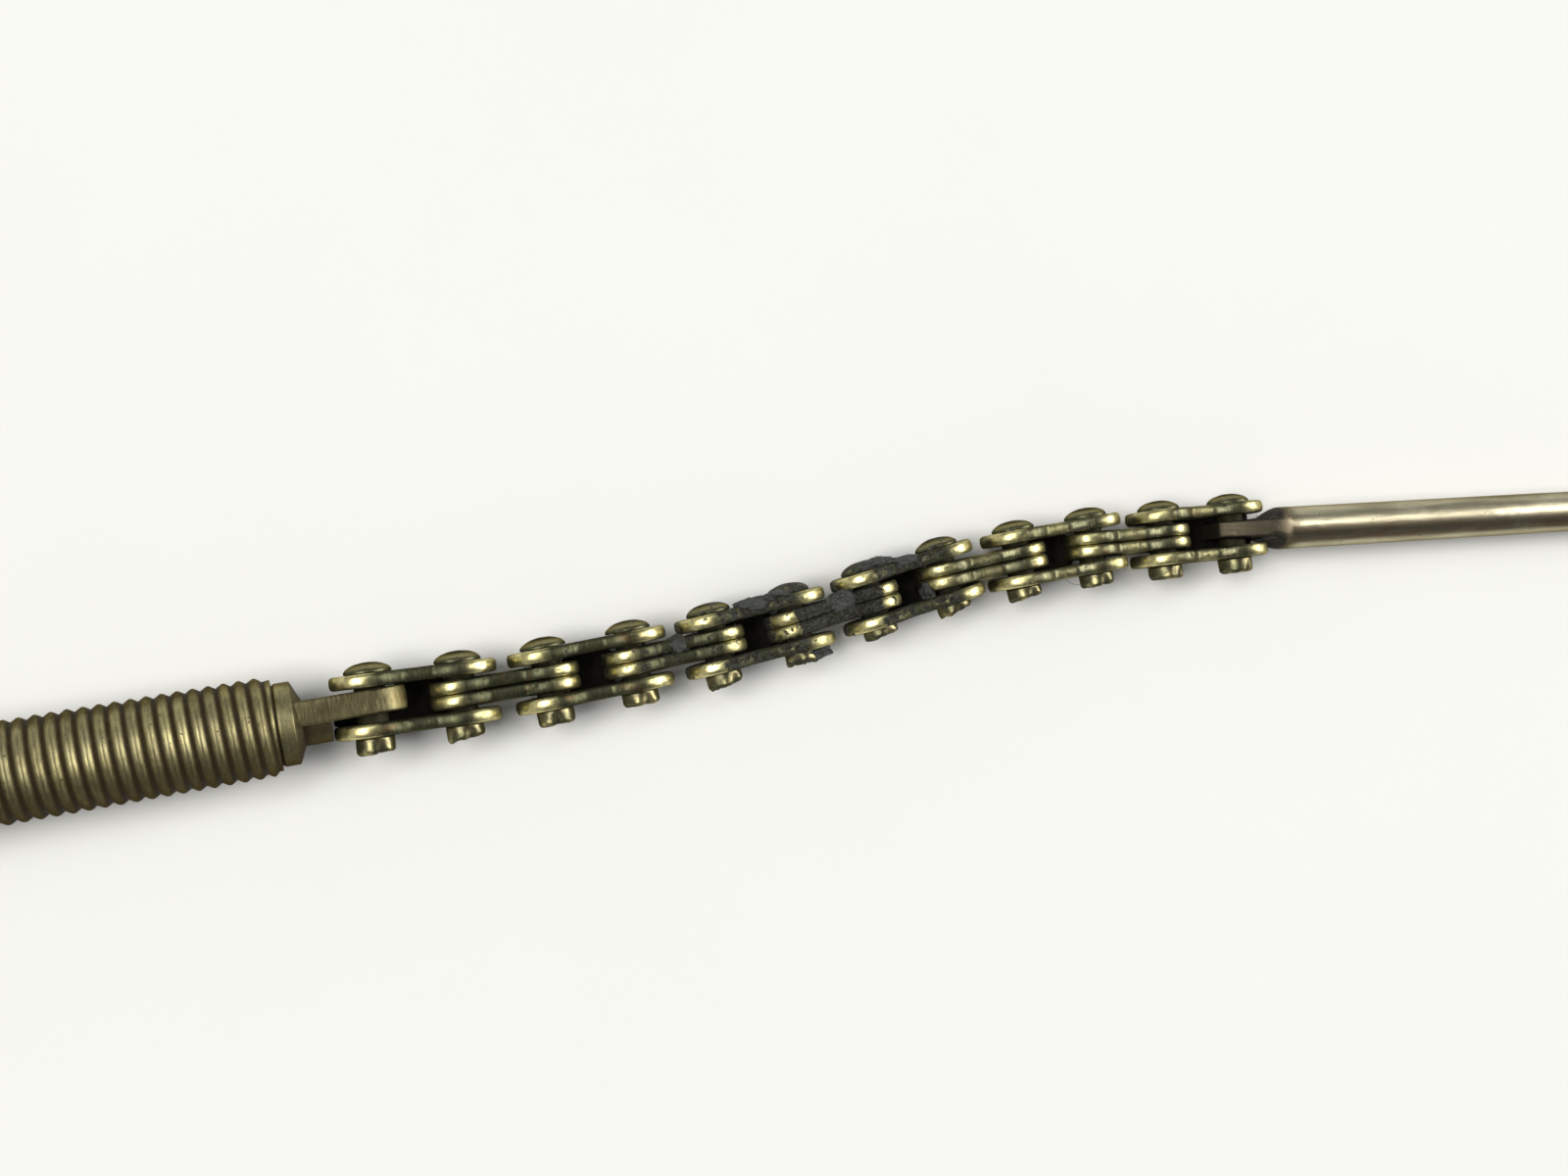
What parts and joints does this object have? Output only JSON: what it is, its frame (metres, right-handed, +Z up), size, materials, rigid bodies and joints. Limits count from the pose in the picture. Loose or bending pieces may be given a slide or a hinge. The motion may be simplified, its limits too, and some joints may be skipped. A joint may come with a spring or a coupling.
{
  "type": "hub gear indicator chain",
  "caption": "Short leaf chain of riveted plates with a threaded stud at one end and a plain rod at the other, worn and grimy.",
  "frame": {"origin": "below the middle of the whole object, on the surface that it lies on", "axes": "+X along the object from the threaded stud to the rod; +Y across it, along the rivets towards their domed heads; +Z up from the surface"},
  "size_m": [0.1118, 0.008, 0.004],
  "materials": {
    "stud": "tarnished olive-bronze plating over steel, dark grease in the grooves",
    "plates": "tarnished olive-grey plating, worn bright on the round ends, dark grease in the gaps",
    "rivets": "tarnished olive-bronze plating, staked and chipped stubs",
    "rod": "drawn steel, brownish tarnish, finely pitted and streaked",
    "grime": "matt grey-black grease and lint"
  },
  "bodies": {
    "root": {"threaded_stud": "stud", "rod": "rod", "outer_plate_1_head_side": "plates", "outer_plate_1_stub_side": "plates", "inner_plate_2_head_side": "plates", "inner_plate_2_stub_side": "plates", "outer_plate_3_head_side": "plates", "outer_plate_3_stub_side": "plates", "inner_plate_4_head_side": "plates", "inner_plate_4_stub_side": "plates", "outer_plate_5_head_side": "plates", "outer_plate_5_stub_side": "plates", "inner_plate_6_head_side": "plates", "inner_plate_6_stub_side": "plates", "outer_plate_7_head_side": "plates", "outer_plate_7_stub_side": "plates", "inner_plate_8_head_side": "plates", "inner_plate_8_stub_side": "plates", "outer_plate_9_head_side": "plates", "outer_plate_9_stub_side": "plates", "inner_plate_10_head_side": "plates", "inner_plate_10_stub_side": "plates", "outer_plate_11_head_side": "plates", "outer_plate_11_stub_side": "plates", "rivet_1": "rivets", "rivet_2": "rivets", "rivet_3": "rivets", "rivet_4": "rivets", "rivet_5": "rivets", "rivet_6": "rivets", "rivet_7": "rivets", "rivet_8": "rivets", "rivet_9": "rivets", "rivet_10": "rivets", "rivet_11": "rivets", "rivet_12": "rivets"}
  },
  "joints": []
}
